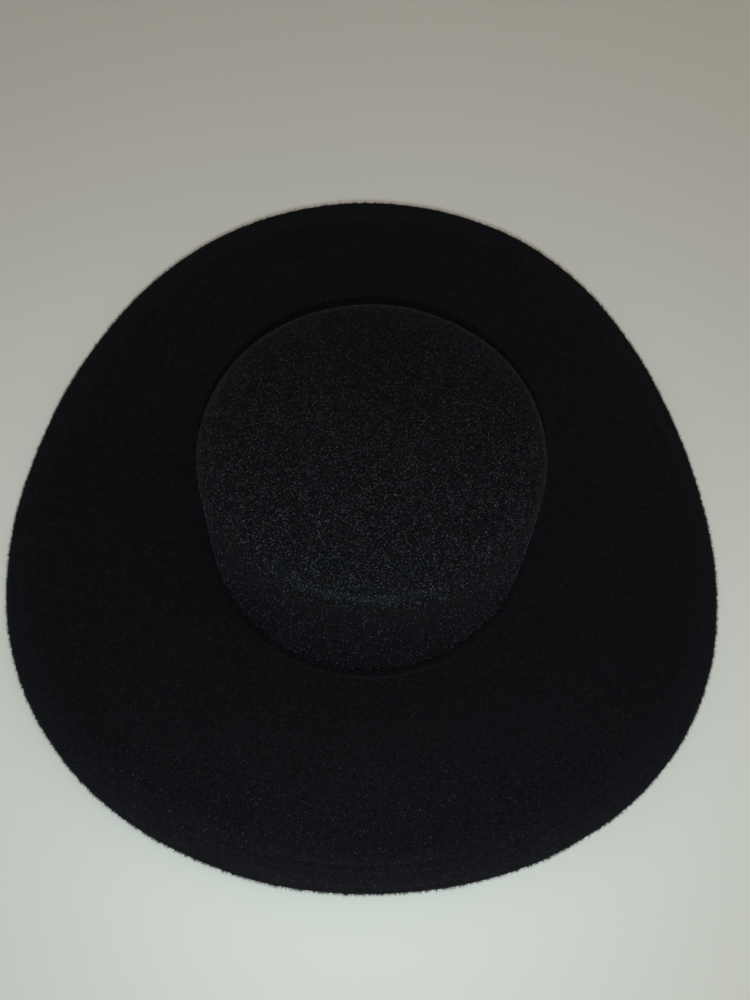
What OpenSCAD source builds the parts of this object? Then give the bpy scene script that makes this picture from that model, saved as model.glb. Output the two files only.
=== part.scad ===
// Wide-brimmed flat-topped felt hat: a blocked crown sewn to a wavy wired brim,
// with a sweatband, its join tab, a blank size label and the sewing thread.
// Millimetres. Z is up, X is to the wearer's left, the hat's front faces -Y.
// The origin is the middle of the head opening, on the surface the hat stands on.

/* [Felt] */
// Thickness of the blocked wool felt
felt_t = 2.2; // [1.8:0.1:2.4]

/* [Crown] */
// Outside radius of the crown where it meets the brim
crown_base_r = 95; // [90:1:100]
// Outside radius that the crown's wall narrows to at its top
crown_top_r = 87.5; // [82:0.5:89]
// Height of the crown above the brim
crown_h = 89; // [75:1:105]
// Rounding of the crown's top edge
crown_edge_r = 8; // [5:0.5:14]
// Height of the collar that the brim turns up inside the crown
collar_h = 14; // [11:1:20]

/* [Brim outline] */
// Mean radius of the brim's edge
brim_r = 207; // [190:1:225]
// How much deeper the brim is at the back than at the front, halved
brim_back = 1; // [0:0.5:8]
// How much longer than wide the brim is, in radius
brim_oval = 3.5; // [0:0.5:8]
// Depth of the three soft lobes of the outline
brim_lobe = 5.5; // [0:0.5:7]

/* [Brim wave] */
// Mean height of the brim's edge
wave_mean = 20; // [20:0.5:26]
// How far the back edge rises and the front edge drops
wave_back = 9; // [4:0.5:10]
// How far the front and back curl up and the two sides dip
wave_saddle = 7.5; // [4:0.5:8]
// How far the left side dips below the right side
wave_side = 2; // [0:0.5:2]
// Three-lobed part of the wave
wave_three = 1.5; // [0:0.5:1.5]
// Four-lobed part of the wave
wave_four = 3; // [0:0.5:3]

/* [Hem and wire] */
// Width of the edge that is turned under and stitched
hem_w = 10.5; // [9:0.5:14]
// Diameter of the spring-steel wire in the hem
wire_d = 1.2; // [1:0.1:1.4]
// Diameter of the channel that the wire lies in
channel_d = 2.6; // [2.5:0.1:3]
// Outside diameter of the sleeve that joins the wire's ends
sleeve_d = 2.1; // [2:0.05:2.2]
// Bore of that sleeve
sleeve_bore = 1.5; // [1.45:0.05:1.6]
// Length of that sleeve
sleeve_len = 14; // [10:1:16]

/* [Sweatband] */
// Height of the sweatband
band_h = 30; // [24:1:36]
// Thickness of the sweatband
band_t = 1; // [0.8:0.1:1.2]
// Width of the tab that covers the sweatband's join
tab_w = 14; // [10:1:20]
// Thickness of that tab
tab_t = 0.6; // [0.5:0.1:0.8]
// Width of the blank size label
label_w = 16; // [12:1:24]
// Height of the blank size label
label_h = 18; // [14:1:22]
// Thickness of the blank size label
label_t = 0.4; // [0.4:0.1:0.6]

/* [Stitching] */
// Diameter of the sewing thread
thread_d = 0.5; // [0.4:0.05:0.5]
// Stitches round the hem, seen above and below by turns
hem_stitches = 240; // [160:2:300]
// Stitches round the sweatband's lower edge
band_stitches = 140; // [90:1:160]
// Stitches that hold the crown to the brim's collar
joint_stitches = 72; // [48:1:96]

/* [Hidden] */

felt_black = [0.075, 0.078, 0.085];
band_black = [0.05, 0.05, 0.055];
thread_black = [0.03, 0.03, 0.035];
steel_grey = [0.62, 0.63, 0.65];
label_white = [0.85, 0.84, 0.8];

ring_steps = 72;              // stations round the brim
ring_step = 360 / ring_steps;
arc_steps = 8;                // segments in the crown's rounded edge
seat_gap = 0.2;               // glue line between the crown and the collar
ply_gap = 0.15;               // gap between the two plies of the hem
band_gap = 0.6;               // room for the joint's thread behind the sweatband
skin_gap = 0.05;              // gap under the tab and the label
foot_bend_r = 3.5;            // bend where the brim turns up into the collar
hem_close = 4;                // length over which the hem closes beside the wire
stitch_share = 0.62;          // part of each stitch's pitch that its thread covers
band_lift = 1.5;              // the sweatband's lower edge above the ground
back = 90;                    // direction of the hat's back, where the joins are

fold_r = channel_d / 2 + felt_t;
wall_slope = (crown_base_r - crown_top_r) / crown_h;

// Outer face of the crown's wall, the faces inside it, each at height z
function wall_r(z) = crown_base_r - wall_slope * (z - felt_t);
function collar_out_r(z) = wall_r(z) - felt_t - seat_gap;
function collar_in_r(z) = collar_out_r(z) - felt_t;
function band_out_r(z) = collar_in_r(z) - band_gap;
function band_in_r(z) = band_out_r(z) - band_t;

// The brim's edge: how far out and how high it is in direction a
function edge_r(a) = brim_r + brim_back * sin(a) - brim_oval * cos(2 * a) - brim_lobe * sin(3 * a);
function edge_z(a) = wave_mean + wave_back * sin(a) - wave_saddle * cos(2 * a)
                   - wave_side * cos(a) - wave_three * cos(3 * a) - wave_four * cos(4 * a);

// The underside of the brim at radius r: level at the crown, then rising to the edge
function rise(q) = q <= 0 ? 0 : 0.3 * q + 0.7 * q * q;
function wire_r(a) = edge_r(a) - fold_r;
function brim_z(a, r) = edge_z(a) * rise((r - crown_base_r) / (wire_r(a) - crown_base_r));
function on_brim(a, r, dz) = [r * cos(a), r * sin(a), brim_z(a, r) + dz];
function station(a, q) = crown_base_r + q * (wire_r(a) - crown_base_r);

// Closed section of the brim in direction a, as [radius, height above the underside]
function brim_section(a) = let(
    w = wire_r(a),
    h = edge_r(a) - hem_w,
    top = felt_t + collar_h)
    concat(
        [for (q = [0 : 0.2 : 1]) [station(a, q), felt_t]],
        [for (th = [60 : -30 : -90]) [w + fold_r * cos(th), fold_r * sin(th) - channel_d / 2]],
        [[w - hem_close, -ply_gap - felt_t], [h, -ply_gap - felt_t],
         [h, -ply_gap], [w - hem_close, -ply_gap]],
        [for (th = [-90 : 45 : 90]) [w + channel_d / 2 * cos(th), channel_d / 2 * (sin(th) - 1)]],
        [[w - hem_close, 0], [h, 0]],
        [for (q = [0.8 : -0.2 : 0]) [station(a, q), 0]],
        [for (th = [-90 : -45 : -180])
            [collar_in_r(foot_bend_r) + foot_bend_r * (1 + cos(th)), foot_bend_r * (1 + sin(th))]],
        [[collar_in_r(top), top], [collar_out_r(top), top], [collar_out_r(felt_t), felt_t]]);

// Triangles between neighbouring rings of points; closed rings wrap round to the first
function ring_faces(rings, sides, closed) = [
    for (i = [0 : rings - (closed ? 1 : 2)])
        for (j = [0 : sides - 1])
            let(
                n = (i + 1) % rings,
                k = (j + 1) % sides)
            each [[i * sides + j, n * sides + j, n * sides + k],
                  [i * sides + j, n * sides + k, i * sides + k]]];

// Ring of the wire's surface, at the place where a given direction meets the channel
function wire_ring(p, heading, sides) = [
    for (j = [0 : sides - 1])
        let(th = 360 * j / sides)
        p + wire_d / 2 * (cos(th) * [cos(heading), sin(heading), 0] + sin(th) * [0, 0, 1])];

// A straight length of thread from p to q
module thread(p, q) {
    d = q - p;
    translate(p)
        rotate([0, acos(d[2] / norm(d)), atan2(d[1], d[0])])
            cylinder(d = thread_d, h = norm(d), $fn = 16);
}

// A strip bent round the hat's axis: the region between two cones, centred on direction a
module bent_strip(z0, z1, in0, in1, t, a, span) {
    rotate([0, 0, a - span / 2])
        rotate_extrude(angle = span, $fn = 180)
            polygon([[in0, z0], [in0 + t, z0], [in1 + t, z1], [in1, z1]]);
}

module felt_crown() {
    top = felt_t + crown_h;
    tilt = atan(wall_slope);
    out_r = wall_r(top) - crown_edge_r * (1 - sin(tilt)) / cos(tilt);
    in_edge_r = crown_edge_r - felt_t;
    color(felt_black)
        rotate_extrude($fn = 180)
            polygon(concat(
                [[crown_base_r - felt_t, felt_t], [crown_base_r, felt_t]],
                [for (i = [0 : arc_steps])
                    let(th = tilt + (90 - tilt) * i / arc_steps)
                    [out_r + crown_edge_r * cos(th), top - crown_edge_r * (1 - sin(th))]],
                [[0, top], [0, top - felt_t]],
                [for (i = [arc_steps : -1 : 0])
                    let(th = tilt + (90 - tilt) * i / arc_steps)
                    [out_r + in_edge_r * cos(th), top - crown_edge_r + in_edge_r * sin(th)]]));
}

module felt_brim() {
    rings = [for (i = [0 : ring_steps - 1])
        let(a = (i + 0.5) * ring_step)
        [for (s = brim_section(a)) on_brim(a, s[0], s[1])]];
    color(felt_black)
        polyhedron(points = [for (r = rings) each r],
                   faces = ring_faces(ring_steps, len(rings[0]), true));
}

module brim_wire() {
    sides = 8;
    half_gap = 1;
    first = back + ring_step / 2;
    path = [for (i = [0 : ring_steps - 1])
        let(a = first + i * ring_step)
        on_brim(a, wire_r(a), -channel_d / 2)];
    headings = [for (i = [0 : ring_steps - 1]) first + i * ring_step];
    start = [-half_gap, path[0][1], path[0][2]];
    end = [half_gap, path[ring_steps - 1][1], path[ring_steps - 1][2]];
    rings = concat(
        [wire_ring(start, back, sides)],
        [for (i = [0 : ring_steps - 1]) wire_ring(path[i], headings[i], sides)],
        [wire_ring(end, back, sides)]);
    last = (len(rings) - 1) * sides;
    color(steel_grey)
        polyhedron(points = [for (r = rings) each r],
                   faces = concat(
                       [[for (j = [0 : sides - 1]) j]],
                       [[for (j = [sides - 1 : -1 : 0]) last + j]],
                       ring_faces(len(rings), sides, false)));
}

module wire_sleeve() {
    a = back + ring_step / 2;
    seat = on_brim(a, wire_r(a), -channel_d / 2);
    color(steel_grey)
        translate([-sleeve_len / 2, seat[1], seat[2]])
            rotate([0, 90, 0])
                difference() {
                    cylinder(d = sleeve_d, h = sleeve_len, $fn = 32);
                    translate([0, 0, -1])
                        cylinder(d = sleeve_bore, h = sleeve_len + 2, $fn = 32);
                }
}

module hem_stitching() {
    pitch = 360 / hem_stitches;
    color(thread_black)
        for (i = [0 : hem_stitches - 1])
            let(
                a = i * pitch,
                b = a + stitch_share * pitch,
                dz = i % 2 == 0 ? felt_t + thread_d / 2 : -ply_gap - felt_t - thread_d / 2)
            thread(on_brim(a, edge_r(a) - hem_w + 2, dz), on_brim(b, edge_r(b) - hem_w + 2, dz));
}

// A level row of stitches on the inside of a wall of radius r, at height z
module stitch_row(count, r, z) {
    pitch = 360 / count;
    for (i = [0 : count - 1])
        rotate([0, 0, i * pitch])
            thread([r, 0, z], [r * cos(stitch_share * pitch), r * sin(stitch_share * pitch), z]);
}

module crown_joint_stitching() {
    z = felt_t + collar_h - 4;
    color(thread_black)
        stitch_row(joint_stitches, collar_in_r(z) - thread_d / 2, z);
}

module sweatband() {
    z1 = band_lift + band_h;
    join_gap = 0.8;
    color(band_black)
        bent_strip(band_lift, z1, band_in_r(band_lift), band_in_r(z1), band_t, back + 180, 360 - join_gap);
}

module sweatband_stitching() {
    z = band_lift + 2.5;
    color(thread_black)
        rotate([0, 0, 180 / band_stitches])
            stitch_row(band_stitches, band_in_r(z) - thread_d / 2, z);
}

// A strip laid on the sweatband's inner face, its ends at heights z0 and z1
module on_band(z0, z1, t, a, width) {
    r0 = band_in_r(z0) - skin_gap - t;
    r1 = band_in_r(z1) - skin_gap - t;
    bent_strip(z0, z1, r0, r1, t, a, width / r0 * 180 / PI);
}

module sweatband_join_tab() {
    color(band_black)
        on_band(band_lift + 4, band_lift + band_h - 1, tab_t, back, tab_w);
}

module size_label() {
    a = back + (tab_w / 2 + label_w / 2 + 6) / band_in_r(0) * 180 / PI;
    color(label_white)
        on_band(band_lift + 4, band_lift + 4 + label_h, label_t, a, label_w);
}

felt_crown();
felt_brim();
crown_joint_stitching();
brim_wire();
wire_sleeve();
hem_stitching();
sweatband();
sweatband_stitching();
sweatband_join_tab();
size_label();
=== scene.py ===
"""Looks of the wide-brimmed felt hat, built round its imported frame.

Metres, Z up, the hat's front at -Y, the origin in the middle of the head opening.
Every piece is a mesh worked out from the driving sizes below, and rides on the one body.
"""

import math

import bpy
import numpy as np
from mathutils import Matrix, Vector


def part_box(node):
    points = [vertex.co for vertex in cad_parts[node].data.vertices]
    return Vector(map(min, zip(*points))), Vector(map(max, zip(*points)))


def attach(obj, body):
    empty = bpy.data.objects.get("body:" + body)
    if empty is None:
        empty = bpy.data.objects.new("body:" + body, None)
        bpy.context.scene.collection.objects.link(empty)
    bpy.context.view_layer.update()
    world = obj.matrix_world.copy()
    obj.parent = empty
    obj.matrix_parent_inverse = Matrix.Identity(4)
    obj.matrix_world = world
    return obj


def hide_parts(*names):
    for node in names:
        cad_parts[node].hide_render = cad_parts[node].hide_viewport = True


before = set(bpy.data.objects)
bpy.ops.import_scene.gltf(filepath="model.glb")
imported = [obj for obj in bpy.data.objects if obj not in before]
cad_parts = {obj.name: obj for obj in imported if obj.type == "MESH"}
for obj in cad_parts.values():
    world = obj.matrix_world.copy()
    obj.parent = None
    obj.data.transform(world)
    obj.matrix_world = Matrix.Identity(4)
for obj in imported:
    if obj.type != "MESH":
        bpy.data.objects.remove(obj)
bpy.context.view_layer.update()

MM = 0.001
TURN = 2 * math.pi
BACK = math.pi / 2

# ---------------------------------------------------------------- driving sizes, as in the CAD
CROWN_LO, CROWN_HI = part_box("felt_crown")
FELT_T = CROWN_LO[2]
CROWN_BASE_R = CROWN_HI[0]
CROWN_TOP_Z = CROWN_HI[2]
CROWN_H = CROWN_TOP_Z - FELT_T
CROWN_TOP_R = 87.5 * MM
CROWN_EDGE_R = 8 * MM
COLLAR_H = 14 * MM
SEAT_GAP = 0.2 * MM
FOOT_BEND_R = 3.5 * MM

BRIM_R, BRIM_BACK, BRIM_OVAL, BRIM_LOBE = 207 * MM, 1 * MM, 3.5 * MM, 5.5 * MM
WAVE_MEAN, WAVE_BACK, WAVE_SADDLE = 20 * MM, 9 * MM, 7.5 * MM
WAVE_SIDE, WAVE_THREE, WAVE_FOUR = 2 * MM, 1.5 * MM, 3 * MM

HEM_W = 10.5 * MM
HEM_CLOSE = 4 * MM
PLY_GAP = 0.15 * MM
CHANNEL_D = 2.6 * MM
WIRE_D = 1.2 * MM
FOLD_R = CHANNEL_D / 2 + FELT_T

BAND_LO, BAND_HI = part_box("sweatband")
BAND_Z0, BAND_Z1 = BAND_LO[2], BAND_HI[2]
BAND_T = 1 * MM
BAND_GAP = 0.6 * MM
JOIN_GAP = math.radians(0.8)

THREAD_D = 0.5 * MM
HEM_STITCHES = 240
BAND_STITCHES = 140
JOINT_STITCHES = 72
HEM_STITCH_IN = 2 * MM
BAND_STITCH_UP = 2.5 * MM

WALL_SLOPE = (CROWN_BASE_R - CROWN_TOP_R) / CROWN_H


def wall_r(z):
    return CROWN_BASE_R - WALL_SLOPE * (z - FELT_T)


def collar_out_r(z):
    return wall_r(z) - FELT_T - SEAT_GAP


def collar_in_r(z):
    return collar_out_r(z) - FELT_T


def band_out_r(z):
    return collar_in_r(z) - BAND_GAP


def band_in_r(z):
    return band_out_r(z) - BAND_T


def edge_r(a):
    return BRIM_R + BRIM_BACK * np.sin(a) - BRIM_OVAL * np.cos(2 * a) - BRIM_LOBE * np.sin(3 * a)


def edge_z(a):
    return (
        WAVE_MEAN
        + WAVE_BACK * np.sin(a)
        - WAVE_SADDLE * np.cos(2 * a)
        - WAVE_SIDE * np.cos(a)
        - WAVE_THREE * np.cos(3 * a)
        - WAVE_FOUR * np.cos(4 * a)
    )


def wire_r(a):
    return edge_r(a) - FOLD_R


def brim_z(a, r):
    """Height of the brim's underside in direction a at radius r."""
    q = np.maximum((r - CROWN_BASE_R) / (wire_r(a) - CROWN_BASE_R), 0)
    return edge_z(a) * (0.3 * q + 0.7 * q * q)


# ---------------------------------------------------------------- small geometry helpers
def polar(a, r, z):
    """Points from directions, radii and heights, whose shapes are broadcast together."""
    a, r, z = np.broadcast_arrays(a, r, z)
    return np.stack([r * np.cos(a), r * np.sin(a), z], -1)


def bell(x, width):
    return np.exp(-((x / width) ** 2))


def ease(x):
    x = np.clip(x, 0, 1)
    return x * x * (3 - 2 * x)


def lumps(points, shortest, longest, seed, waves=28):
    """Smooth unevenness of about unit size: plane waves of random direction and phase."""
    rng = np.random.default_rng(seed)
    ways = rng.normal(size=(waves, 3))
    ways /= np.linalg.norm(ways, axis=1, keepdims=True)
    lengths = np.exp(rng.uniform(math.log(shortest), math.log(longest), waves))
    phases = rng.uniform(0, TURN, waves)
    total = np.zeros(points.shape[:-1])
    for way, length, phase in zip(ways, lengths, phases):
        total += np.cos(points @ (way * TURN / length) + phase)
    return total / math.sqrt(waves / 2)


def grid_quads(rows, cols, wrap_rows=False, wrap_cols=False):
    """Corner numbers of the quads of a grid of points, rows x cols."""
    i = np.arange(rows if wrap_rows else rows - 1)
    j = np.arange(cols if wrap_cols else cols - 1)
    i, j = np.meshgrid(i, j, indexing="ij")
    n, k = (i + 1) % rows, (j + 1) % cols
    return np.stack([i * cols + j, n * cols + j, n * cols + k, i * cols + k], -1).reshape(-1, 4)


def make_piece(name, points, faces, material, replaced=()):
    """A smooth mesh piece on the hat's one body; faces is a list of arrays of quads or triangles."""
    points = np.asarray(points, dtype=np.float32).reshape(-1, 3)
    mesh = bpy.data.meshes.new(name)
    mesh.vertices.add(len(points))
    mesh.vertices.foreach_set("co", points.ravel())
    sizes = np.concatenate([np.full(len(f), f.shape[1]) for f in faces])
    loops = np.concatenate([f.ravel() for f in faces])
    mesh.loops.add(len(loops))
    mesh.loops.foreach_set("vertex_index", loops.astype(np.int32))
    mesh.polygons.add(len(sizes))
    starts = np.concatenate([[0], np.cumsum(sizes)[:-1]])
    mesh.polygons.foreach_set("loop_start", starts.astype(np.int32))
    mesh.polygons.foreach_set("use_smooth", np.full(len(sizes), True))
    mesh.update(calc_edges=True)
    mesh.validate()
    mesh.materials.append(material)
    piece = bpy.data.objects.new(name, mesh)
    bpy.context.scene.collection.objects.link(piece)
    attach(piece, "root")
    if replaced:
        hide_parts(*replaced)
    return piece


def mark(piece, name, values):
    """Writes one number at each of a piece's points, for its material to read."""
    made = piece.data.attributes.new(name, "FLOAT", "POINT")
    made.data.foreach_set("value", np.asarray(values, dtype=np.float32).ravel())


PLY_WAIST, PLY_SWELL = 0.86, 0.2
END_BULGE = 0.6


def tube(path, radius, sides, twist=None, closed=True):
    """Points and faces of a round tube along a path; twist is the pitch of its two plies, if any."""
    ahead = np.roll(path, -1, 0) - np.roll(path, 1, 0)
    if not closed:
        ahead[0], ahead[-1] = path[1] - path[0], path[-1] - path[-2]
    ahead /= np.linalg.norm(ahead, axis=1, keepdims=True)
    up = np.array([0, 0, 1.0]) - ahead * ahead[:, 2:3]
    up /= np.linalg.norm(up, axis=1, keepdims=True)
    side = np.cross(ahead, up)
    run = np.concatenate([[0], np.cumsum(np.linalg.norm(np.diff(path, axis=0), axis=1))])
    th = np.arange(sides) * TURN / sides
    reach = np.full((len(path), sides), radius)
    if twist:
        plies = np.cos(2 * (th[None] - TURN * run[:, None] / twist / 2)) ** 2
        reach = radius * (PLY_WAIST + PLY_SWELL * plies)
    points = (
        path[:, None]
        + (reach * np.cos(th))[..., None] * side[:, None]
        + (reach * np.sin(th))[..., None] * up[:, None]
    )
    faces = [grid_quads(len(path), sides, closed, True)[:, ::-1]]
    points = points.reshape(-1, 3)
    if not closed:
        bulge = radius * END_BULGE
        ends = [path[0] - ahead[0] * bulge, path[-1] + ahead[-1] * bulge]
        first, last = len(points), (len(path) - 1) * sides
        points = np.concatenate([points, ends])
        j = np.arange(sides)
        k = (j + 1) % sides
        faces.append(np.stack([np.full(sides, first), j, k], -1))
        faces.append(np.stack([np.full(sides, first + 1), last + k, last + j], -1))
    return points, faces


def shell(front, back):
    """Points and faces of a thin closed sheet between two grids of the same shape."""
    rows, cols = front.shape[:2]
    quads = grid_quads(rows, cols)
    n = rows * cols
    index = np.arange(n).reshape(rows, cols)
    rim = np.concatenate([index[0, :-1], index[:-1, -1], index[-1, :0:-1], index[:0:-1, 0]])
    after = np.roll(rim, -1)
    sides = np.stack([rim, after, after + n, rim + n], -1)
    points = np.concatenate([front.reshape(-1, 3), back.reshape(-1, 3)])
    return points, [np.concatenate([quads, quads[:, ::-1] + n, sides])]


def join(parts):
    """One list of points and faces out of several."""
    points, faces, start = [], [], 0
    for p, fs in parts:
        points.append(np.asarray(p).reshape(-1, 3))
        faces += [f + start for f in fs]
        start += len(points[-1])
    return np.concatenate(points), faces


# ---------------------------------------------------------------- materials
class Nodes:
    """A material's node tree, with its shader ready and short ways to add and join nodes."""

    def __init__(self, name):
        self.material = bpy.data.materials.new(name)
        self.material.use_nodes = True
        self.tree = self.material.node_tree
        self.shader = self.tree.nodes["Principled BSDF"]
        self.place = self.add("ShaderNodeTexCoord").outputs["Object"]

    def add(self, kind, settings=(), **inputs):
        made = self.tree.nodes.new(kind)
        for key, value in dict(settings).items():
            setattr(made, key, value)
        for key, value in inputs.items():
            self.put(made, key.replace("_", " "), value)
        return made

    def put(self, target, socket, value):
        if isinstance(value, bpy.types.NodeSocket):
            self.tree.links.new(value, target.inputs[socket])
        else:
            target.inputs[socket].default_value = value

    def shade(self, **inputs):
        for key, value in inputs.items():
            self.put(self.shader, key.replace("_", " "), value)

    def noise(self, size, detail=2.0, roughness=0.5, distortion=0.0, place=None):
        """Noise whose features are about size metres across, from 0 to 1."""
        made = self.add(
            "ShaderNodeTexNoise",
            Scale=1 / size,
            Detail=detail,
            Roughness=roughness,
            Distortion=distortion,
            Vector=place or self.place,
        )
        return made.outputs["Fac"]

    def spread(self, value, low, high, to_low=0.0, to_high=1.0):
        made = self.add("ShaderNodeMapRange", {"clamp": True, "interpolation_type": "SMOOTHSTEP"})
        for key, number in zip(range(5), (value, low, high, to_low, to_high)):
            self.put(made, key, number)
        return made.outputs[0]

    def maths(self, operation, a, b=0.0):
        made = self.add("ShaderNodeMath", {"operation": operation})
        self.put(made, 0, a)
        self.put(made, 1, b)
        return made.outputs[0]

    def mix(self, share, a, b):
        made = self.add("ShaderNodeMix", {"data_type": "RGBA"})
        for key, value in ((0, share), (6, a), (7, b)):
            self.put(made, key, value)
        return made.outputs[2]

    def bump(self, height, distance, strength=1.0, under=None):
        made = self.add("ShaderNodeBump", Height=height, Distance=distance, Strength=strength)
        if under is not None:
            self.put(made, "Normal", under)
        return made.outputs["Normal"]


def colour(r, g, b):
    return (r, g, b, 1.0)


def tinted(depth, r, g, b):
    return colour(depth * r, depth * g, depth * b)


# The grey the felt turns towards, both for wear and for painted highlights.
DUST_AND_LIGHT = colour(0.0135, 0.0135, 0.0185)
FIBRE_GAP = 0.3 * MM


def felt_material(name, depth, glint, rarity):
    """Black wool felt: soft mottling, and specks on fibre ends painted bright as glints.

    depth is how dark the dye is between fibres; glint is the brightness of the brightest painted
    glints, and a high rarity leaves few of them. The piece's own marks say where the painted glints
    show, and how far the felt greys: partly wear, partly painted highlight, held back for painted
    shade.
    """
    n = Nodes(name)
    clumps = n.noise(2.4 * MM, detail=3, roughness=0.6)
    fibre = n.noise(0.6 * MM, detail=3, roughness=0.7, distortion=1.2)
    wide = n.noise(45 * MM, detail=2)
    low, high = tinted(depth, 0.65, 0.62, 0.74), tinted(depth, 1.36, 1.3, 1.56)
    body = n.mix(n.spread(clumps, 0.3, 0.72), low, high)
    body = n.mix(n.spread(wide, 0.35, 0.7, 0, 0.35), body, tinted(depth, 1.12, 1.15, 1.4))
    # Painted glints: a few Voronoi cells per fibre gap are painted bright, cool or warm, as highlights
    # on fibre ends.
    ends = n.add("ShaderNodeTexVoronoi", {"feature": "F1"}, Scale=1 / FIBRE_GAP, Vector=n.place)
    chance = n.add("ShaderNodeSeparateColor", Color=ends.outputs["Color"]).outputs
    painted_glints = n.add("ShaderNodeAttribute", {"attribute_name": "painted_glints"}).outputs["Fac"]
    share = n.maths("MULTIPLY", n.maths("POWER", chance[0], rarity), painted_glints)
    hue = n.mix(chance[1], tinted(glint, 0.9, 1, 1.3), tinted(glint, 1.15, 1, 0.95))
    body = n.mix(share, body, hue)
    # Greying towards the dusty grey: partly wear, partly painted highlight, as the piece's mark says.
    wear_and_light = n.add("ShaderNodeAttribute", {"attribute_name": "wear_and_painted_light"}).outputs["Fac"]
    body = n.mix(n.maths("MULTIPLY", wear_and_light, n.spread(fibre, 0.2, 0.7, 0.6, 1.0)), body, DUST_AND_LIGHT)
    pile = n.bump(clumps, 0.1 * MM, 0.4)
    pile = n.bump(fibre, 0.07 * MM, 0.6, under=pile)
    n.shade(
        Base_Color=body,
        Roughness=n.spread(fibre, 0.3, 0.7, 0.46, 0.58),
        Normal=pile,
        Specular_IOR_Level=0.022,
        Sheen_Weight=0.01,
        Sheen_Roughness=0.7,
        Sheen_Tint=colour(0.88, 0.87, 1.0),
        Specular_Tint=colour(0.88, 0.86, 1.0),
    )
    return n.material


def nap_material(name, rare, common, pale):
    """Loose wool fibres: black, turning pale as a painted glint where a noise goes from rare to
    common.
    """
    n = Nodes(name)
    tone = n.noise(0.7 * MM, detail=1)
    black = colour(0.0042, 0.004, 0.0048)
    n.shade(
        Base_Color=n.mix(n.spread(tone, rare, common), black, tinted(pale, 1, 1, 1.3)),
        Roughness=n.spread(tone, 0.3, 0.7, 0.75, 0.95),
        Specular_IOR_Level=0.15,
        Sheen_Weight=0.04,
    )
    return n.material


def thread_material(name, dark, light):
    """Spun sewing thread: fine fibres along a two-ply twist."""
    n = Nodes(name)
    fibre = n.noise(0.22 * MM, detail=3, roughness=0.7)
    n.shade(
        Base_Color=n.mix(fibre, dark, light),
        Roughness=n.spread(fibre, 0.3, 0.7, 0.6, 0.85),
        Normal=n.bump(fibre, 0.06 * MM, 0.8),
        Specular_IOR_Level=0.12,
        Sheen_Weight=0.03,
    )
    return n.material


def metal_material(name, tone, rough):
    """Bare metal with drawing marks and a little tarnish."""
    n = Nodes(name)
    marks = n.noise(0.4 * MM, detail=3)
    tarnish = n.noise(9 * MM, detail=4)
    pale = colour(*tone)
    dull = colour(*[v * 0.62 for v in tone])
    n.shade(
        Base_Color=n.mix(n.spread(tarnish, 0.45, 0.75), pale, dull),
        Metallic=1.0,
        Roughness=n.spread(marks, 0.3, 0.7, rough, rough + 0.16),
        Normal=n.bump(marks, 0.02 * MM, 0.5),
    )
    return n.material


def ribbon_material():
    """Black grosgrain: fine warp threads over the ribs, slight sheen."""
    n = Nodes("black_grosgrain")
    stretch = n.add("ShaderNodeMapping", {"vector_type": "POINT"}, Vector=n.place, Scale=(1, 1, 7))
    warp = n.noise(0.55 * MM, detail=2, place=stretch.outputs[0])
    lint = n.noise(0.8 * MM, detail=4, roughness=0.7)
    body = n.mix(warp, colour(0.0045, 0.0046, 0.0052), colour(0.0135, 0.0138, 0.0152))
    body = n.mix(n.spread(lint, 0.66, 0.8, 0, 0.5), body, colour(0.045, 0.046, 0.05))
    n.shade(
        Base_Color=body,
        Roughness=n.spread(warp, 0.3, 0.7, 0.42, 0.62),
        Normal=n.bump(warp, 0.08 * MM, 0.7),
        Sheen_Weight=0.02,
        Specular_IOR_Level=0.3,
    )
    return n.material


def label_material():
    """Off-white woven tape."""
    n = Nodes("off_white_tape")
    rows = {"bands_direction": "Z"}
    across = n.add("ShaderNodeTexWave", rows, Scale=1 / (0.9 * MM), Distortion=0.6, Vector=n.place)
    grain = n.noise(0.4 * MM, detail=3)
    weave = n.maths("MULTIPLY", across.outputs["Fac"], 0.5)
    weave = n.maths("ADD", weave, n.maths("MULTIPLY", grain, 0.5))
    n.shade(
        Base_Color=n.mix(weave, colour(0.5, 0.47, 0.4), colour(0.74, 0.72, 0.66)),
        Roughness=n.spread(grain, 0.3, 0.7, 0.6, 0.8),
        Normal=n.bump(weave, 0.06 * MM, 0.7),
        Sheen_Weight=0.1,
    )
    return n.material


def floor_material():
    """Plain pale warm-grey surface."""
    n = Nodes("pale_floor")
    cloud = n.noise(0.6, detail=3)
    n.shade(
        Base_Color=n.mix(cloud, colour(0.66, 0.64, 0.6), colour(0.72, 0.7, 0.66)),
        Roughness=n.spread(cloud, 0.3, 0.7, 0.5, 0.6),
        Specular_IOR_Level=0.3,
    )
    return n.material


# One felt in two copies: the crown's carries more painted glints and a darker body between them.
CROWN_FELT = felt_material("crown_wool_felt", 0.0018, 0.115, 30.0)
BRIM_FELT = felt_material("brim_wool_felt", 0.0028, 0.1, 75.0)
# Pale fibres are painted glints; the wall's fibres have more of them and brighter, the edge fuzz
# almost none.
NAP = nap_material("loose_wool_fibre", 0.56, 0.74, 0.2)
WALL_NAP = nap_material("loose_wall_fibre", 0.56, 0.6, 0.26)
EDGE_NAP = nap_material("edge_fuzz_fibre", 0.6, 0.8, 0.03)
THREAD = thread_material("black_thread", colour(0.0022, 0.0023, 0.0025), colour(0.006, 0.0062, 0.0068))
LABEL_THREAD = thread_material("white_thread", colour(0.45, 0.43, 0.38), colour(0.7, 0.68, 0.62))
STEEL = metal_material("spring_steel_wire", (0.56, 0.57, 0.59), 0.26)
SLEEVE = metal_material("crimped_sleeve_metal", (0.72, 0.72, 0.74), 0.3)
RIBBON = ribbon_material()
LABEL = label_material()


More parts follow.
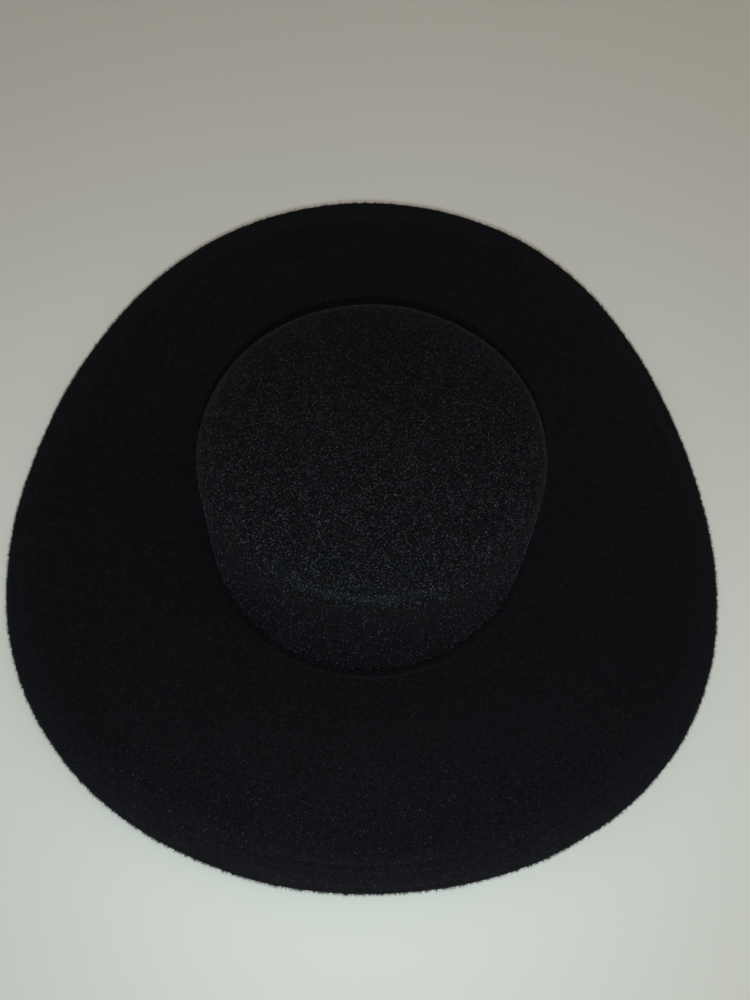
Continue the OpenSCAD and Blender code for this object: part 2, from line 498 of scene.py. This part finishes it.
# ---------------------------------------------------------------- the felt crown
CROWN_STEPS = 540
POLE_R = 0.5 * MM
TOP_STEPS, EDGE_STEPS, WALL_STEPS = 24, 17, 30
INNER_WALL_STEPS, INNER_TOP_STEPS = 22, 14
SWELL_H, GRAIN_H, DISH_H = 0.2 * MM, 0.04 * MM, 0.9 * MM
SLANT_H, WARP_H = 0.5 * MM, 0.35 * MM
# Where the rim greys as a painted highlight, and where the painted glints fade:
# down the wall, and to the back.
RIM_IN, RIM_BAND_W = 5 * MM, 9 * MM
WALL_FROM, WALL_FADE = 3 * MM, 7 * MM
BACK_FROM, BACK_FADE = -70 * MM, 160 * MM


def crown_profile():
    """The crown's closed outline, from its top's middle out, down the wall, and back up inside."""
    tilt = math.atan(WALL_SLOPE)
    edge_mid = wall_r(CROWN_TOP_Z) - CROWN_EDGE_R * (1 - math.sin(tilt)) / math.cos(tilt)
    inner_r = CROWN_EDGE_R - FELT_T
    mid_z = CROWN_TOP_Z - CROWN_EDGE_R
    turn = np.linspace(math.pi / 2, tilt, EDGE_STEPS)

    def rounded(radius, angles):
        return [(edge_mid + radius * math.cos(t), mid_z + radius * math.sin(t)) for t in angles]

    outer = [(r, CROWN_TOP_Z) for r in np.linspace(POLE_R, edge_mid, TOP_STEPS)[:-1]]
    outer += rounded(CROWN_EDGE_R, turn)
    outer += [(wall_r(z), z) for z in np.linspace(outer[-1][1], FELT_T, WALL_STEPS)[1:]]
    inner_top = mid_z + inner_r * math.sin(tilt)
    rising = np.linspace(FELT_T, inner_top, INNER_WALL_STEPS)[:-1]
    inner = [(wall_r(z) - FELT_T, z) for z in rising]
    inner += rounded(inner_r, turn[::-2])
    ceiling = np.linspace(edge_mid, POLE_R, INNER_TOP_STEPS)[1:]
    inner += [(r, CROWN_TOP_Z - FELT_T) for r in ceiling]
    return np.array(outer + inner)


def crown_surface():
    """Rings of the crown's points, made a little uneven as hand-blocked felt is."""
    a = (np.arange(CROWN_STEPS) * TURN / CROWN_STEPS)[:, None]
    profile = crown_profile()
    r, z = profile[None, :, 0], profile[None, :, 1]
    flat = polar(a, r, z)
    up = ease((z - FELT_T) / CROWN_H)
    out = ease(r / CROWN_TOP_R)
    swell = SWELL_H * lumps(flat, 60 * MM, 160 * MM, 3) * up
    grain = GRAIN_H * lumps(flat, 8 * MM, 18 * MM, 4)
    dish = -DISH_H * (1 - out) * (z > CROWN_TOP_Z / 2)
    level = SLANT_H * np.cos(a - 0.7) + WARP_H * np.cos(2 * a + 0.4)
    uneven_r = r + (swell + grain) * out * (z > FELT_T)
    uneven_z = z + dish + (level + swell * 0.6) * up * out + grain * up
    return polar(a, uneven_r, uneven_z)


def cap_faces(rings, cols, tip_first, tip_last):
    """Triangles that close the two ends of a surface of rings, at two added points."""
    i = np.arange(rings)
    k = (i + 1) % rings
    first = np.stack([np.full(rings, tip_first), i * cols, k * cols], -1)
    last = np.stack([np.full(rings, tip_last), k * cols + cols - 1, i * cols + cols - 1], -1)
    return [first, last]


def build_crown():
    points = crown_surface()
    rings, cols = points.shape[:2]
    flat = points.reshape(-1, 3)
    tips = np.array([points[:, 0].mean(0), points[:, -1].mean(0)])
    faces = [grid_quads(rings, cols, wrap_rows=True)[:, ::-1]]
    faces += cap_faces(rings, cols, len(flat), len(flat) + 1)
    flat = np.concatenate([flat, tips])
    piece = make_piece("crown_felt", flat, faces, CROWN_FELT, ["felt_crown"])
    x, y, z = flat.T
    # Painted glints: fewer down the wall and towards the back.
    down_wall = ease((CROWN_TOP_Z - WALL_FROM - z) / WALL_FADE)
    back = ease((y - BACK_FROM) / BACK_FADE)
    mark(piece, "painted_glints", (1 - 0.5 * back) * (1 - 0.75 * down_wall))
    # The rim greyed, most at the back: a painted rim highlight.
    from_rim = np.hypot(np.hypot(x, y) - CROWN_TOP_R + RIM_IN, z - CROWN_TOP_Z)
    mark(piece, "wear_and_painted_light", (0.03 + 0.09 * back) * bell(from_rim, RIM_BAND_W))
    return points


# ---------------------------------------------------------------- the felt brim
BRIM_STEPS = 720
UPPER_STEPS, FOLD_STEPS = (14, 17, 15), 13
FOOT_IN, NEAR_FOOT_W, NEAR_HEM_W = 1.2 * MM, 7 * MM, 2 * MM
HEM_END_ROUND, COLLAR_ROUND, COLLAR_FOOT = 0.35 * MM, 0.5 * MM, 0.6 * MM
RIDGE_OUT, RIDGE_H, RIDGE_W = 3.6 * MM, 0.55 * MM, 1.0 * MM
CREASE_H, CREASE_W = 0.5 * MM, 1.1 * MM
HEM_LIFT, HEM_STEP_W = 0.25 * MM, 3 * MM
BEND, SWAY, PUCKER = 0.15 * MM, 0.1 * MM, 0.05 * MM
HELD_W, FREE_W = 4 * MM, 40 * MM
GROOVE_H, GROOVE_W = 0.3 * MM, 1.0 * MM
# How far in from the edge the felt greys, by wear and at the front as a painted highlight,
# and how far out from the crown a painted shade keeps it darker.
HEM_WEAR_AND_HIGHLIGHT_W, EDGE_WEAR_W, FOOT_SHADE_W = 12 * MM, 2 * MM, 45 * MM
# Where the painted glints start to dim towards the back, and how far until all of them have.
GLINT_DIM_FROM, GLINT_DIM_FADE = -200 * MM, 100 * MM


def stitch_groove(a, into_hem):
    """How far the hem's thread pulls the felt in, at a distance into the hem from its inner end."""
    pull = 0.65 + 0.35 * np.cos(HEM_STITCHES * a)
    return GROOVE_H * bell(into_hem - HEM_STITCH_IN, GROOVE_W) * pull


def top_relief(a, r):
    """The upper side's fine shape: crease and ridge at the crown, step and groove at the hem."""
    from_crown = r - CROWN_BASE_R
    into_hem = r - (edge_r(a) - HEM_W)
    ridge = RIDGE_H * bell(from_crown - RIDGE_OUT, RIDGE_W) * (0.75 + 0.25 * np.sin(a * 5 + 1))
    crease = CREASE_H * bell(from_crown, CREASE_W)
    step = HEM_LIFT * ease((into_hem + HEM_STEP_W / 2) / HEM_STEP_W)
    return ridge - crease + step - stitch_groove(a, into_hem)


def loose(r):
    """How free the felt is to stray at a radius: 0 at the crown, which holds it, to 1 further out."""
    return ease((r - CROWN_BASE_R - HELD_W) / FREE_W)


def stray(a, r):
    """How far the felt strays up and outward from its blocked shape."""
    level = polar(a, r, 0)
    bend = BEND * lumps(level, 50 * MM, 130 * MM, 11) * loose(r)
    sway = SWAY * lumps(level, 35 * MM, 90 * MM, 13) * loose(r)
    return bend, sway


def upper_side(a, w, h):
    """Out from the crown's foot to the fold, with more steps where the relief is fine."""
    ends = (CROWN_BASE_R - FOOT_IN, CROWN_BASE_R + NEAR_FOOT_W, h - NEAR_HEM_W, w)
    parts = []
    for start, end, steps in zip(ends, ends[1:], UPPER_STEPS):
        r = start + (end - start) * np.linspace(0, 1, steps)[None]
        parts.append((r, FELT_T + top_relief(a, r)))
    return parts


def folded_hem(a, w, h):
    """Round the fold at the edge, and back in below the turned-under hem to its end."""
    th = np.linspace(math.pi / 2, -math.pi / 2, FOLD_STEPS)[None]
    lift = HEM_LIFT * (1 + np.sin(th)) / 2
    fold = (w + FOLD_R * np.cos(th), lift + FOLD_R * np.sin(th) - CHANNEL_D / 2)
    r = w + (h - w) * np.linspace(0, 1, 9)[None, 1:]
    close = ease((w - r) / HEM_CLOSE)
    bottom = -(CHANNEL_D + FELT_T) * (1 - close) - (PLY_GAP + FELT_T) * close
    end = (h - HEM_END_ROUND, -PLY_GAP - FELT_T * np.array([[0.75, 0.25]]))
    return [fold, (r, bottom + stitch_groove(a, r - h)), end]


def hem_pocket(w, h):
    """Between the two plies: out, round the wire's channel, and back in."""
    th = np.linspace(-math.pi / 2, math.pi / 2, 7)[None]
    channel = (w + CHANNEL_D / 2 * np.cos(th), CHANNEL_D / 2 * (np.sin(th) - 1))
    mouth = w - HEM_CLOSE
    return [(h, -PLY_GAP), (mouth, -PLY_GAP), channel, (mouth, 0), (h, 0)]


def underside_and_collar(h):
    """In along the underside, then up and over the collar that stands inside the crown."""
    underside = (h + (CROWN_BASE_R - h) * np.linspace(0, 1, 22)[None, 1:], 0)
    th = np.linspace(-math.pi / 2, -math.pi, 8)[None]
    bend_r = collar_in_r(FOOT_BEND_R) + FOOT_BEND_R * (1 + np.cos(th))
    bend = (bend_r, FOOT_BEND_R * (1 + np.sin(th)))
    top = FELT_T + COLLAR_H
    rising = np.linspace(FOOT_BEND_R, top - COLLAR_ROUND, 6)[None, 1:]
    falling = np.linspace(top - COLLAR_ROUND, FELT_T + COLLAR_FOOT, 4)[None]
    rim = (collar_in_r(top) + FELT_T * np.array([[0.3, 0.7]]), top)
    return [underside, bend, (collar_in_r(rising), rising), rim, (collar_out_r(falling), falling)]


def brim_surface():
    """Rings of the brim's points; each ring is the closed section of the brim in one direction."""
    a = (np.arange(BRIM_STEPS) * TURN / BRIM_STEPS)[:, None]
    w, h = wire_r(a), edge_r(a) - HEM_W
    parts = upper_side(a, w, h) + folded_hem(a, w, h) + hem_pocket(w, h) + underside_and_collar(h)
    full = [np.broadcast_arrays(a, r, dz) for r, dz in parts]
    r = np.concatenate([part[1] for part in full], 1)
    dz = np.concatenate([part[2] for part in full], 1)
    bend, sway = stray(a, r)
    flat = polar(a, r, brim_z(a, r) + dz)
    pucker = PUCKER * lumps(flat, 7 * MM, 16 * MM, 12) * loose(r)
    return polar(a, r + sway, brim_z(a, r) + dz + bend + pucker)


def build_brim():
    points = brim_surface()
    rings, cols = points.shape[:2]
    faces = [grid_quads(rings, cols, True, True)[:, ::-1]]
    piece = make_piece("brim_felt", points, faces, BRIM_FELT, ["felt_brim"])
    a = np.arctan2(points[..., 1], points[..., 0])
    r = np.hypot(points[..., 0], points[..., 1])
    inward, front = edge_r(a) - r, 0.5 - 0.5 * np.sin(a)
    # Painted shade: the brim is kept darker near the crown's foot at the front.
    painted_foot_shade = front**3 * bell(r - CROWN_BASE_R, FOOT_SHADE_W)
    faded = (0.09 + 0.03 * np.cos(a)) * (1 - painted_foot_shade)
    # Greying in from the edge all round, and much more at the front: partly wear, partly a painted
    # highlight.
    hem_wear_and_highlight = (0.12 + 0.3 * front**3) * bell(inward, HEM_WEAR_AND_HIGHLIGHT_W)
    rubbed = 0.35 * bell(inward, EDGE_WEAR_W)
    mark(piece, "wear_and_painted_light", faded + hem_wear_and_highlight + rubbed)
    # Painted glints: dimmer towards the back.
    mark(piece, "painted_glints", 1 - 0.67 * ease((points[..., 1] - GLINT_DIM_FROM) / GLINT_DIM_FADE))
    return points


# ---------------------------------------------------------------- loose fibres of the felt
CROWN_WALL_TOP = TOP_STEPS + EDGE_STEPS - 2
CROWN_TOP_COLS = slice(0, CROWN_WALL_TOP + 1)
CROWN_WALL_COLS = slice(CROWN_WALL_TOP, CROWN_WALL_TOP + WALL_STEPS)
FOLD_COL = sum(UPPER_STEPS)
BRIM_TOP_COLS = slice(0, FOLD_COL + FOLD_STEPS // 2)
EDGE_COLS = slice(FOLD_COL - 1, FOLD_COL + FOLD_STEPS - 3)
FIBRE_ROOT = 0.05 * MM
HEM_NAP_FROM, HEM_NAP_FADE = -60 * MM, 140 * MM
WALL_NAP_FROM, WALL_NAP_FADE = 40 * MM, 130 * MM
NAP_LEAN, FUZZ_LEAN = 0.9, 0.8
FUZZ_LENGTH, FUZZ_THICK = 1.15 * MM, 0.08 * MM
TUFTS, TUFT_FIBRES, TUFT_W = 9500, 5, 0.25 * MM


def scatter(points, count, rng, weight):
    """Random places and outward directions on a grid of points, more where weight is high."""
    rings = points.shape[0]
    a, b = points[:, :-1], np.roll(points, -1, 0)[:, :-1]
    c, d = np.roll(points, -1, 0)[:, 1:], points[:, 1:]
    normal = np.cross(d - a, b - a)
    area = np.linalg.norm(normal, axis=-1)
    chance = (area * weight(((a + c) / 2), normal / np.maximum(area, 1e-12)[..., None])).ravel()
    picked = rng.choice(chance.size, count, p=chance / chance.sum())
    i, j = picked // (points.shape[1] - 1), picked % (points.shape[1] - 1)
    u, v = rng.random((2, count, 1))
    place = (a[i, j] * (1 - u) + b[i, j] * u) * (1 - v) + (d[i, j] * (1 - u) + c[i, j] * u) * v
    way = normal[i, j] / area[i, j][:, None]
    return place, way


def fibres(place, way, rng, length, thick, lean):
    """Closed tapering spikes that stand on places and lean off their outward directions."""
    count = len(place)
    side = rng.normal(size=(count, 3))
    side -= way * (side * way).sum(1, keepdims=True)
    side /= np.linalg.norm(side, axis=1, keepdims=True)
    other = np.cross(way, side)
    long = (length * rng.lognormal(0, 0.35, (count, 1))).clip(0, length * 2.2)
    tips = lean * rng.uniform(0.4, 1.3, (count, 1))
    curl = rng.normal(0, 0.5, (count, 1))
    th = np.arange(3)[:, None] * TURN / 3
    ring = thick * (np.cos(th) * side[:, None] + np.sin(th) * other[:, None])
    foot = (place - way * FIBRE_ROOT)[:, None] + ring
    tip = place + long * (way * (1 - 0.35 * tips) + side * tips + other * curl)
    corners = np.array([[0, 2, 1], [0, 1, 3], [1, 2, 3], [2, 0, 3]])
    faces = np.arange(count)[:, None, None] * len(corners) + corners
    return np.concatenate([foot, tip[:, None]], 1), [faces.reshape(-1, 3)]


def tufts(place, way, rng, each, spread):
    """Each place and direction repeated with a small random shift, so that fibres stand in tufts."""
    place, way = np.repeat(place, each, 0), np.repeat(way, each, 0)
    return place + rng.normal(0, spread, place.shape), way


def even(place, way):
    return np.ones(place.shape[:-1])


def rim_first(place, way):
    """More fibres round the crown's top edge, where handling raises them."""
    out = np.hypot(place[..., 0], place[..., 1]) - CROWN_TOP_R
    from_rim = np.hypot(out, place[..., 2] - CROWN_TOP_Z)
    return 1 + 1.5 * bell(from_rim, RIM_BAND_W)


def front_hem(place, way):
    """More fibres, and with them more painted glints, where the brim is held, towards its front edge.
    """
    return 0.08 + ease((HEM_NAP_FROM - place[..., 1]) / HEM_NAP_FADE)


def front_wall(place, way):
    """More fibres, and with them more painted glints, on the front half of the crown's wall."""
    return 0.4 + ease((WALL_NAP_FROM - place[..., 1]) / WALL_NAP_FADE)


def build_nap(name, points, material, weight, count, seed, length, thick):
    """Loose fibres that lean well over, on part of a felt piece."""
    rng = np.random.default_rng(seed)
    place, way = scatter(points, count, rng, weight)
    p, f = fibres(place, way, rng, length, thick, NAP_LEAN)
    make_piece(name, p, f, material)


def build_edge_fuzz(points):
    """Tufts of fibres that stand out all round the brim's folded edge."""
    rng = np.random.default_rng(23)
    place, way = scatter(points[:, EDGE_COLS], TUFTS, rng, even)
    place, way = tufts(place, way, rng, TUFT_FIBRES, TUFT_W)
    p, f = fibres(place, way, rng, FUZZ_LENGTH, FUZZ_THICK, FUZZ_LEAN)
    make_piece("brim_edge_fuzz", p, f, EDGE_NAP)


# ---------------------------------------------------------------- threads
THREAD_TWIST = 1.3 * MM
THREAD_SIDES = 8
HEM_STITCH_POINTS, LEVEL_STITCH_POINTS = 14, 12
JOINT_STITCH_DOWN = 4 * MM


def running(swing, bias, power):
    """A running stitch's place from behind, 0, to in front, 1; bias lengthens what shows in front."""
    shifted = swing + bias
    return 0.5 + 0.5 * np.sign(shifted) * np.abs(shifted / (1 + bias)) ** power


def hem_thread():
    """One running thread: over the hem and under it by turns, in the groove that it pulls."""
    count = HEM_STITCHES * HEM_STITCH_POINTS
    a = np.arange(count) * TURN / count
    r = edge_r(a) - HEM_W + HEM_STITCH_IN
    share = running(np.cos(HEM_STITCHES * a / 2), 0, 0.45)
    sink = stitch_groove(a, HEM_STITCH_IN)
    high = FELT_T + HEM_LIFT - sink + THREAD_D * 0.3
    low = -PLY_GAP - FELT_T + sink - THREAD_D * 0.3
    bend, sway = stray(a, r)
    return polar(a, r + sway, brim_z(a, r) + low + (high - low) * share + bend)


def level_thread(stitches, z, inside, behind):
    """A running thread at one height, by turns at radius inside and behind."""
    count = stitches * LEVEL_STITCH_POINTS
    a = np.arange(count) * TURN / count
    share = running(np.cos(stitches * a), 0.3, 0.5)
    return polar(a, behind + (inside - behind) * share, z)


def build_thread(name, path, node):
    p, f = tube(path, THREAD_D / 2, THREAD_SIDES, twist=THREAD_TWIST)
    make_piece(name, p, f, THREAD, [node])


def build_threads():
    build_thread("hem_thread", hem_thread(), "hem_stitching")

    z = FELT_T + COLLAR_H - JOINT_STITCH_DOWN
    inside = collar_in_r(z) - THREAD_D * 0.4
    behind = collar_out_r(z) + SEAT_GAP + FELT_T * 0.4
    path = level_thread(JOINT_STITCHES, z, inside, behind)
    build_thread("crown_joint_thread", path, "crown_joint_stitching")

    z = BAND_Z0 + BAND_STITCH_UP
    inside = band_in_r(z) - THREAD_D * 0.35
    behind = collar_in_r(z) + FELT_T * 0.4
    path = level_thread(BAND_STITCHES, z, inside, behind)
    build_thread("sweatband_thread", path, "sweatband_stitching")


# ---------------------------------------------------------------- wire and its sleeve
WIRE_END_GAP = 1 * MM
WIRE_STEPS, WIRE_SIDES = 900, 12
SLEEVE_BORE_R = 0.75 * MM
SLEEVE_STEPS, SLEEVE_SIDES = 41, 28
CRIMP_AT, CRIMP_W, CRIMP_DEPTH = 0.22, 0.06, 0.14
LIP_DEPTH = 0.06


def build_wire():
    """The spring wire: a ring in the hem's channel, with its two ends at the back."""
    half_gap = WIRE_END_GAP / 2 / BRIM_R
    a = np.linspace(BACK + half_gap, BACK + TURN - half_gap, WIRE_STEPS)
    path = polar(a, wire_r(a), brim_z(a, wire_r(a)) - CHANNEL_D / 2)
    p, f = tube(path, WIRE_D / 2, WIRE_SIDES, closed=False)
    make_piece("brim_spring_wire", p, f, STEEL, ["brim_wire"])


def build_sleeve():
    """A short tube round the wire's ends, crimped at two places."""
    lo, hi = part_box("wire_sleeve")
    length, radius = hi[0] - lo[0], (hi[2] - lo[2]) / 2
    middle_z = (lo[2] + hi[2]) / 2
    s = np.linspace(-0.5, 0.5, SLEEVE_STEPS)
    th = np.arange(SLEEVE_SIDES) * TURN / SLEEVE_SIDES
    y = wire_r(BACK) + (s * length) ** 2 / (-2 * BRIM_R)
    crimps = bell(s - CRIMP_AT, CRIMP_W) + bell(s + CRIMP_AT, CRIMP_W)
    crimp = 1 - CRIMP_DEPTH * crimps[:, None] * np.abs(np.cos(th))[None] ** 2
    lip = 1 - LIP_DEPTH * ease((np.abs(s) - 0.46) / 0.04)[:, None]

    def skin(r):
        reach = r * crimp * lip
        x = np.broadcast_to((s * length)[:, None], reach.shape)
        return np.stack([x, y[:, None] + reach * np.cos(th), middle_z + reach * np.sin(th)], -1)

    loop = np.concatenate([skin(radius), skin(SLEEVE_BORE_R)[::-1]])
    faces = [grid_quads(len(loop), len(th), True, True)]
    make_piece("crimp_sleeve", loop, faces, SLEEVE, ["wire_sleeve"])


# ---------------------------------------------------------------- sweatband, tab and label
RIB, RIB_H, RIB_POINTS = 0.9 * MM, 0.13 * MM, 4
BAND_ROWS = 13
SELVEDGE = 0.06
BAND_SWAY = 0.5 * MM
CORNER_PINCH, CORNER_PINCH_MOST = 30, 0.08
TAB_FLAT, TAB_CORNER, TAB_T = (14 * MM, 25 * MM), 1.5 * MM, 0.55 * MM
TAB_GAP, TAB_DOME, TAB_RIB_H = 0.04 * MM, 0.18 * MM, 0.09 * MM
TAB_STITCH_AT, TAB_STITCH_PULL, TAB_STITCHES = 0.86, 0.16 * MM, 30
TAB_THREAD_R, TAB_THREAD_CORNER = 0.16 * MM, 8
TAB_THREAD_DEEP, TAB_THREAD_REACH = 0.5 * MM, TAB_T + 0.56 * MM
LABEL_FLAT, LABEL_CORNER, LABEL_T = (16 * MM, 18 * MM), 0.4 * MM, 0.3 * MM
LABEL_GAP, LABEL_FOLD_H, LABEL_BILLOW = 0.05 * MM, 0.22 * MM, 0.5 * MM
LABEL_THREAD_R, LABEL_STITCH_AT, LABEL_STITCH_END = 0.13 * MM, 0.88, 0.94
LABEL_THREAD_DEEP, LABEL_THREAD_REACH = 0.3 * MM, 1.05 * MM


def up_band(z):
    return (z - BAND_Z0) / (BAND_Z1 - BAND_Z0)


def free_sway(a, z):
    """How far the sweatband's free upper part waves in and out."""
    wave = BAND_SWAY * (np.sin(3 * a + 0.6) + 0.6 * np.sin(7 * a + 2)) - BAND_SWAY
    return wave * ease((up_band(z) - 0.25) / 0.75)


def ribbon_r(a, z):
    """Radius of the sweatband's inner face."""
    return band_in_r(z) + free_sway(a, z)


def span(values):
    """The middle of some values and half of their range."""
    return (values.max() + values.min()) / 2, (values.max() - values.min()) / 2


def build_sweatband():
    """The ribbed ribbon, a ring open at the join, with flatter selvedges."""
    turn = TURN - JOIN_GAP
    ribs = round(turn * band_in_r(BAND_Z0) / RIB)
    steps = np.arange(ribs * RIB_POINTS + 1)
    a = BACK + JOIN_GAP / 2 + np.linspace(0, turn, len(steps))[None]
    z = np.linspace(BAND_Z0, BAND_Z1, BAND_ROWS)[:, None]
    up = up_band(z)
    selvedge = 0.5 + 0.5 * ease(up / SELVEDGE) * ease((1 - up) / SELVEDGE)
    rib = RIB_H * (0.5 - 0.5 * np.cos(steps * TURN / RIB_POINTS))[None] * selvedge
    inside = polar(a, ribbon_r(a, z) + rib, z)
    behind = polar(a, band_out_r(z) + free_sway(a, z) - rib, z)
    p, f = shell(inside, behind)
    piece = make_piece("sweatband_ribbon", p, f, RIBBON, ["sweatband"])


def patch_grid(node, rows, cols, corner):
    """Directions and heights of a patch on the sweatband at a CAD node, and places from -1 to 1."""
    lo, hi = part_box(node)
    middle = Vector((lo[0] + hi[0], lo[1] + hi[1], 0)) / 2
    half_w = math.hypot(hi[0] - lo[0], hi[1] - lo[1]) / 2
    half_h, middle_z = (hi[2] - lo[2]) / 2, (lo[2] + hi[2]) / 2
    s, t = np.meshgrid(np.linspace(-1, 1, cols), np.linspace(-1, 1, rows))
    near_corner = np.maximum(np.abs(t) - 1 + corner / half_h, 0)
    pinch = np.clip(corner / half_w * near_corner**2 * CORNER_PINCH, 0, CORNER_PINCH_MOST)
    a = math.atan2(middle.y, middle.x) + s * (1 - pinch) * half_w / band_in_r(middle_z)
    return a, middle_z + t * half_h, s, t


def build_tab():
    """The tab over the sweatband's join: ribs across, a slight dome, a line pulled in by stitches."""
    a, z, s, t = patch_grid("sweatband_join_tab", 109, 33, TAB_CORNER)
    rim = np.maximum(np.abs(s), np.abs(t))
    pulled = TAB_STITCH_PULL * bell(rim - TAB_STITCH_AT, 0.05)
    dome = TAB_DOME * (1 - s * s) * (1 - t * t)
    rib = TAB_RIB_H * np.cos(np.arange(len(a)) * TURN / RIB_POINTS)[:, None]
    base = ribbon_r(a, z)
    front = polar(a, base - TAB_T - dome - rib + pulled, z)
    p, f = shell(front, polar(a, base - TAB_GAP, z))
    piece = make_piece("join_tab", p, f, RIBBON, ["sweatband_join_tab"])
    p, f = tube(tab_thread(span(a), span(z)), TAB_THREAD_R, 6)
    make_piece("join_tab_thread", p, f, THREAD)


def tab_thread(a_span, z_span):
    """The path of the tab's stitching: a rounded rectangle a little inside its edge."""
    turn = np.linspace(0, 1, 1200, endpoint=False) * TURN
    x, y = np.cos(turn), np.sin(turn)
    corner = TAB_THREAD_CORNER
    squared = (np.abs(x) ** corner + np.abs(y) ** corner) ** (-1 / corner)
    a = a_span[0] + x * squared * TAB_STITCH_AT * a_span[1]
    z = z_span[0] + y * squared * TAB_STITCH_AT * z_span[1]
    share = running(np.cos(TAB_STITCHES * turn), 0.4, 0.5)
    return polar(a, ribbon_r(a, z) + TAB_THREAD_DEEP - share * TAB_THREAD_REACH, z)


def build_label():
    """The blank label: ends folded under, slightly billowed, a row of stitches along each end."""
    a, z, s, t = patch_grid("size_label", 37, 33, LABEL_CORNER)
    fold = LABEL_FOLD_H * (1 - ease((1 - np.abs(t) - 0.2) / 0.06))
    billow = LABEL_BILLOW * (1 - t * t) * (0.4 + 0.6 * np.cos(s * 1.2))
    base = ribbon_r(a, z)
    front = polar(a, base - LABEL_T - fold - billow, z)
    p, f = shell(front, polar(a, base - LABEL_GAP - billow * 0.9, z))
    piece = make_piece("blank_size_label", p, f, LABEL, ["size_label"])
    ends = [label_thread(span(a), span(z), side) for side in (-LABEL_STITCH_AT, LABEL_STITCH_AT)]
    p, f = join([tube(path, LABEL_THREAD_R, 6, closed=False) for path in ends])
    make_piece("label_thread", p, f, LABEL_THREAD)


def label_thread(a_span, z_span, height):
    """The path of one row of the label's stitching, at a height from -1 to 1."""
    u = np.linspace(-LABEL_STITCH_END, LABEL_STITCH_END, 260)
    a = a_span[0] + u * a_span[1]
    z = np.full_like(u, z_span[0] + height * z_span[1])
    share = 0.5 + 0.5 * np.clip(np.cos(u * 30) * 1.6 + 0.4, -1, 1)
    return polar(a, ribbon_r(a, z) + LABEL_THREAD_DEEP - share * LABEL_THREAD_REACH, z)


# ---------------------------------------------------------------- stage, camera and light
WARM, COOL = (1.0, 0.94, 0.845), (0.74, 0.96, 1.0)
FLOOR_SIZE, FLOOR_DOWN = 60, 0.4 * MM
AMBIENT = 0.285


def build_stage():
    bpy.ops.mesh.primitive_plane_add(size=FLOOR_SIZE, location=(0, 0, -FLOOR_DOWN))
    floor = bpy.context.object
    floor.name = "floor"
    floor.data.materials.append(floor_material())
    world = bpy.data.worlds.new("studio")
    bpy.context.scene.world = world
    world.use_nodes = True
    background = world.node_tree.nodes["Background"]
    background.inputs["Color"].default_value = colour(*WARM)
    background.inputs["Strength"].default_value = AMBIENT


EYE = Vector((-6.2, -184.2, 416.0)) * MM
TILT, PAN, ROLL = math.radians(24.95), math.radians(-2.8), math.radians(4.2)
SENSOR_W, LENS = 36, 27
KEY_FROM_EYE, KEY_TARGET = Vector((0.0, -0.022, -0.008)), (0, 0, 0.03)
KEY_SIZE, KEY_POWER = 8 * MM, 1.12
OVERHEAD_PLACE, OVERHEAD_SIZE, OVERHEAD_POWER = (0.3, -0.4, 1.6), 1.4, 6.0


def eye_turn():
    """Rotation of the camera: rolled on its own axis, tilted up, and panned round the hat's axis."""
    turns = ((PAN, "Z"), (TILT, "X"), (ROLL, "Z"))
    pan, tilt, roll = [Matrix.Rotation(angle, 3, axis) for angle, axis in turns]
    return pan @ tilt @ roll


def build_camera():
    data = bpy.data.cameras.new("camera")
    data.sensor_width = SENSOR_W
    data.lens = LENS
    camera = bpy.data.objects.new("camera", data)
    camera.matrix_world = Matrix.Translation(EYE) @ eye_turn().to_4x4()
    bpy.context.scene.collection.objects.link(camera)
    bpy.context.scene.camera = camera


def area_light(name, place, target, size, power, tone):
    data = bpy.data.lights.new(name, "AREA")
    data.shape = "DISK"
    data.size = size
    data.energy = power
    data.color = tone
    light = bpy.data.objects.new(name, data)
    light.location = place
    light.rotation_mode = "QUATERNION"
    light.rotation_quaternion = (Vector(target) - Vector(place)).to_track_quat("-Z", "Y")
    light.visible_camera = False
    bpy.context.scene.collection.objects.link(light)


def build_lights():
    """A small cool key just below the camera, and a broad warm light overhead."""
    area_light("key", EYE + KEY_FROM_EYE, KEY_TARGET, KEY_SIZE, KEY_POWER, COOL)
    area_light("overhead", OVERHEAD_PLACE, (0, 0, 0), OVERHEAD_SIZE, OVERHEAD_POWER, WARM)


build_stage()
build_camera()
build_lights()
bpy.context.scene.view_settings.view_transform = "Standard"

crown = build_crown()
brim = build_brim()
build_nap(
    "crown_top_nap", crown[:, CROWN_TOP_COLS], NAP, rim_first,
    count=48000, seed=21, length=0.6 * MM, thick=0.024 * MM,
)
build_nap(
    "crown_wall_nap", crown[:, CROWN_WALL_COLS], WALL_NAP, front_wall,
    count=10000, seed=22, length=0.6 * MM, thick=0.1 * MM,
)
build_nap(
    "brim_nap", brim[:, BRIM_TOP_COLS], NAP, front_hem,
    count=48000, seed=24, length=0.65 * MM, thick=0.03 * MM,
)
build_edge_fuzz(brim)
build_threads()
build_wire()
build_sleeve()
build_sweatband()
build_tab()
build_label()

bpy.context.view_layer.update()
